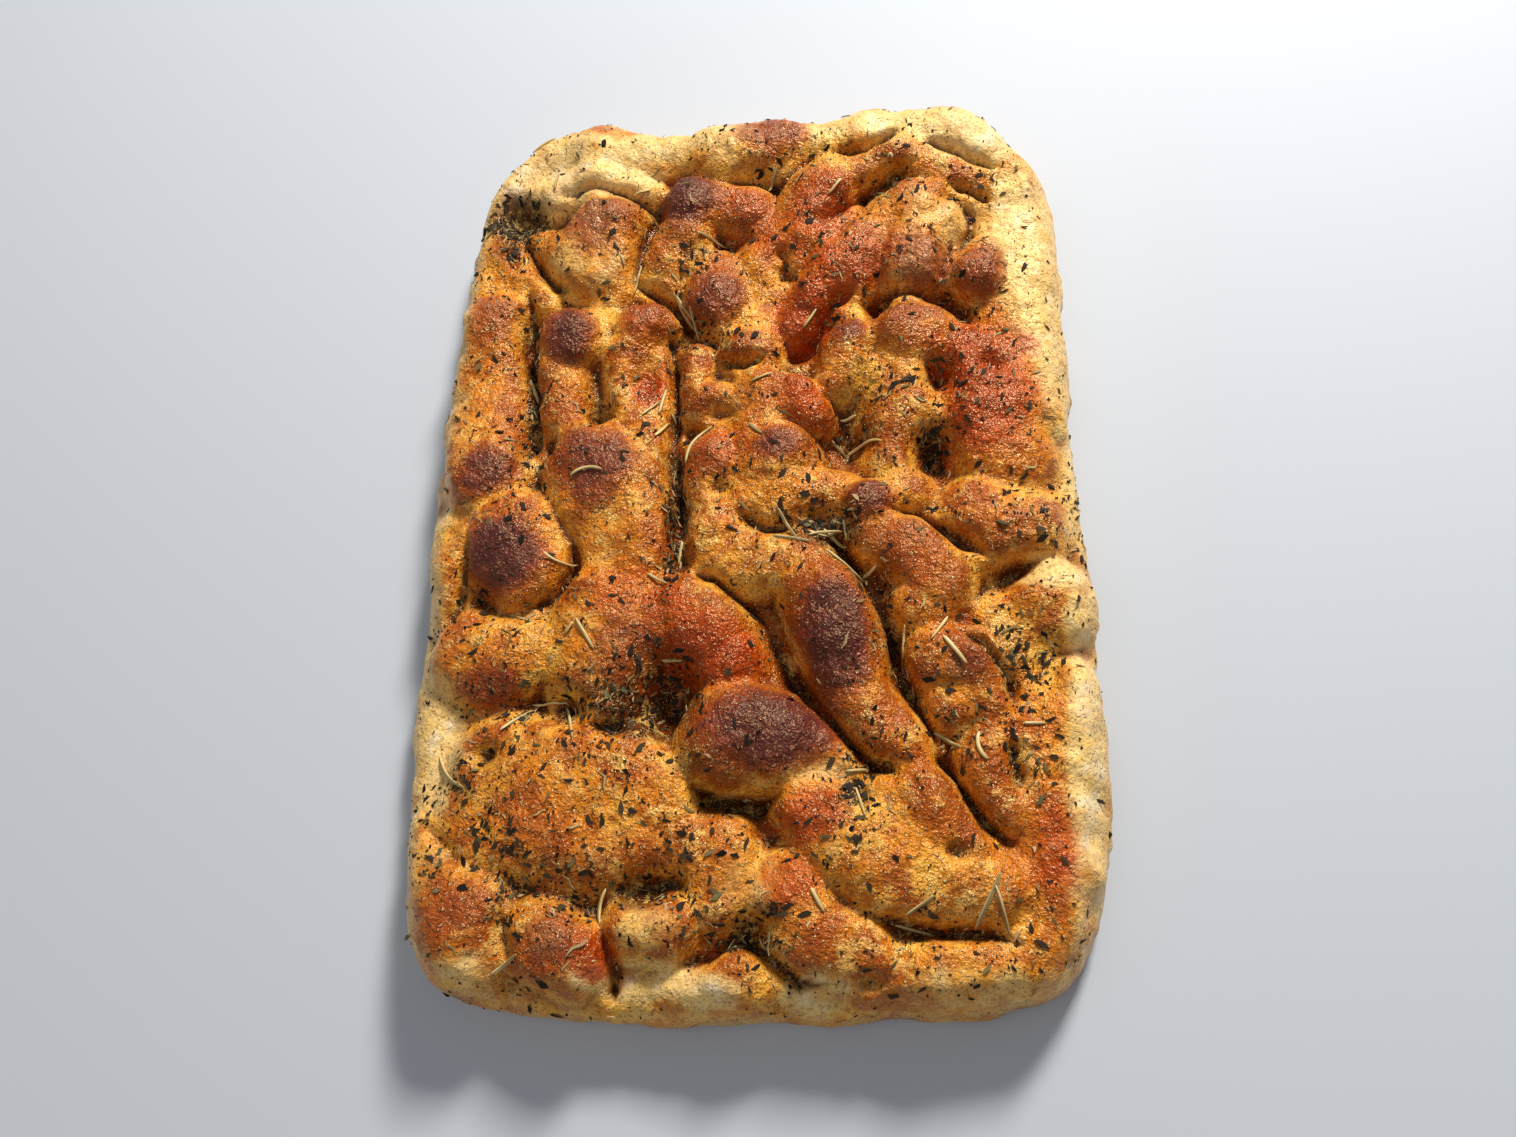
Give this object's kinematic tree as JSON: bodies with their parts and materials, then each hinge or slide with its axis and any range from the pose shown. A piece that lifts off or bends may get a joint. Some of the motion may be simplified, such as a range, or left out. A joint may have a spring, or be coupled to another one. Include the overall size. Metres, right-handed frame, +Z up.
{
  "type": "focaccia loaf",
  "caption": "Rectangular dimpled focaccia loaf with dried herbs and loose rosemary needles on its crust.",
  "frame": {"origin": "middle of the loaf's flat underside", "axes": "+X across the loaf, +Y along its length, +Z up out of the crust"},
  "size_m": [0.24, 0.3526, 0.037],
  "materials": {
    "crust": "oiled, golden brown baked crust",
    "rosemary": "dry olive-tan leaf"
  },
  "bodies": {
    "root": {"focaccia_loaf": "crust", "rosemary_needle_01": "rosemary", "rosemary_needle_02": "rosemary", "rosemary_needle_03": "rosemary", "rosemary_needle_04": "rosemary", "rosemary_needle_05": "rosemary", "rosemary_needle_06": "rosemary", "rosemary_needle_07": "rosemary", "rosemary_needle_08": "rosemary", "rosemary_needle_09": "rosemary", "rosemary_needle_10": "rosemary", "rosemary_needle_11": "rosemary", "rosemary_needle_12": "rosemary", "rosemary_needle_13": "rosemary", "rosemary_needle_14": "rosemary", "rosemary_needle_15": "rosemary", "rosemary_needle_16": "rosemary", "rosemary_needle_17": "rosemary", "rosemary_needle_18": "rosemary", "rosemary_needle_19": "rosemary", "rosemary_needle_20": "rosemary", "rosemary_needle_21": "rosemary", "rosemary_needle_22": "rosemary", "rosemary_needle_23": "rosemary", "rosemary_needle_24": "rosemary", "rosemary_needle_25": "rosemary", "rosemary_needle_26": "rosemary", "rosemary_needle_27": "rosemary", "rosemary_needle_28": "rosemary", "rosemary_needle_29": "rosemary", "rosemary_needle_30": "rosemary", "rosemary_needle_31": "rosemary", "rosemary_needle_32": "rosemary", "rosemary_needle_33": "rosemary", "rosemary_needle_34": "rosemary", "rosemary_needle_35": "rosemary", "rosemary_needle_36": "rosemary", "rosemary_needle_37": "rosemary", "rosemary_needle_38": "rosemary", "rosemary_needle_39": "rosemary", "rosemary_needle_40": "rosemary", "rosemary_needle_41": "rosemary", "rosemary_needle_42": "rosemary", "rosemary_needle_43": "rosemary", "rosemary_needle_44": "rosemary", "rosemary_needle_45": "rosemary", "rosemary_needle_46": "rosemary", "rosemary_needle_47": "rosemary", "rosemary_needle_48": "rosemary", "rosemary_needle_49": "rosemary", "rosemary_needle_50": "rosemary", "rosemary_needle_51": "rosemary", "rosemary_needle_52": "rosemary", "rosemary_needle_53": "rosemary", "rosemary_needle_54": "rosemary", "rosemary_needle_55": "rosemary", "rosemary_needle_56": "rosemary", "rosemary_needle_57": "rosemary", "rosemary_needle_58": "rosemary", "rosemary_needle_59": "rosemary"}
  },
  "joints": []
}
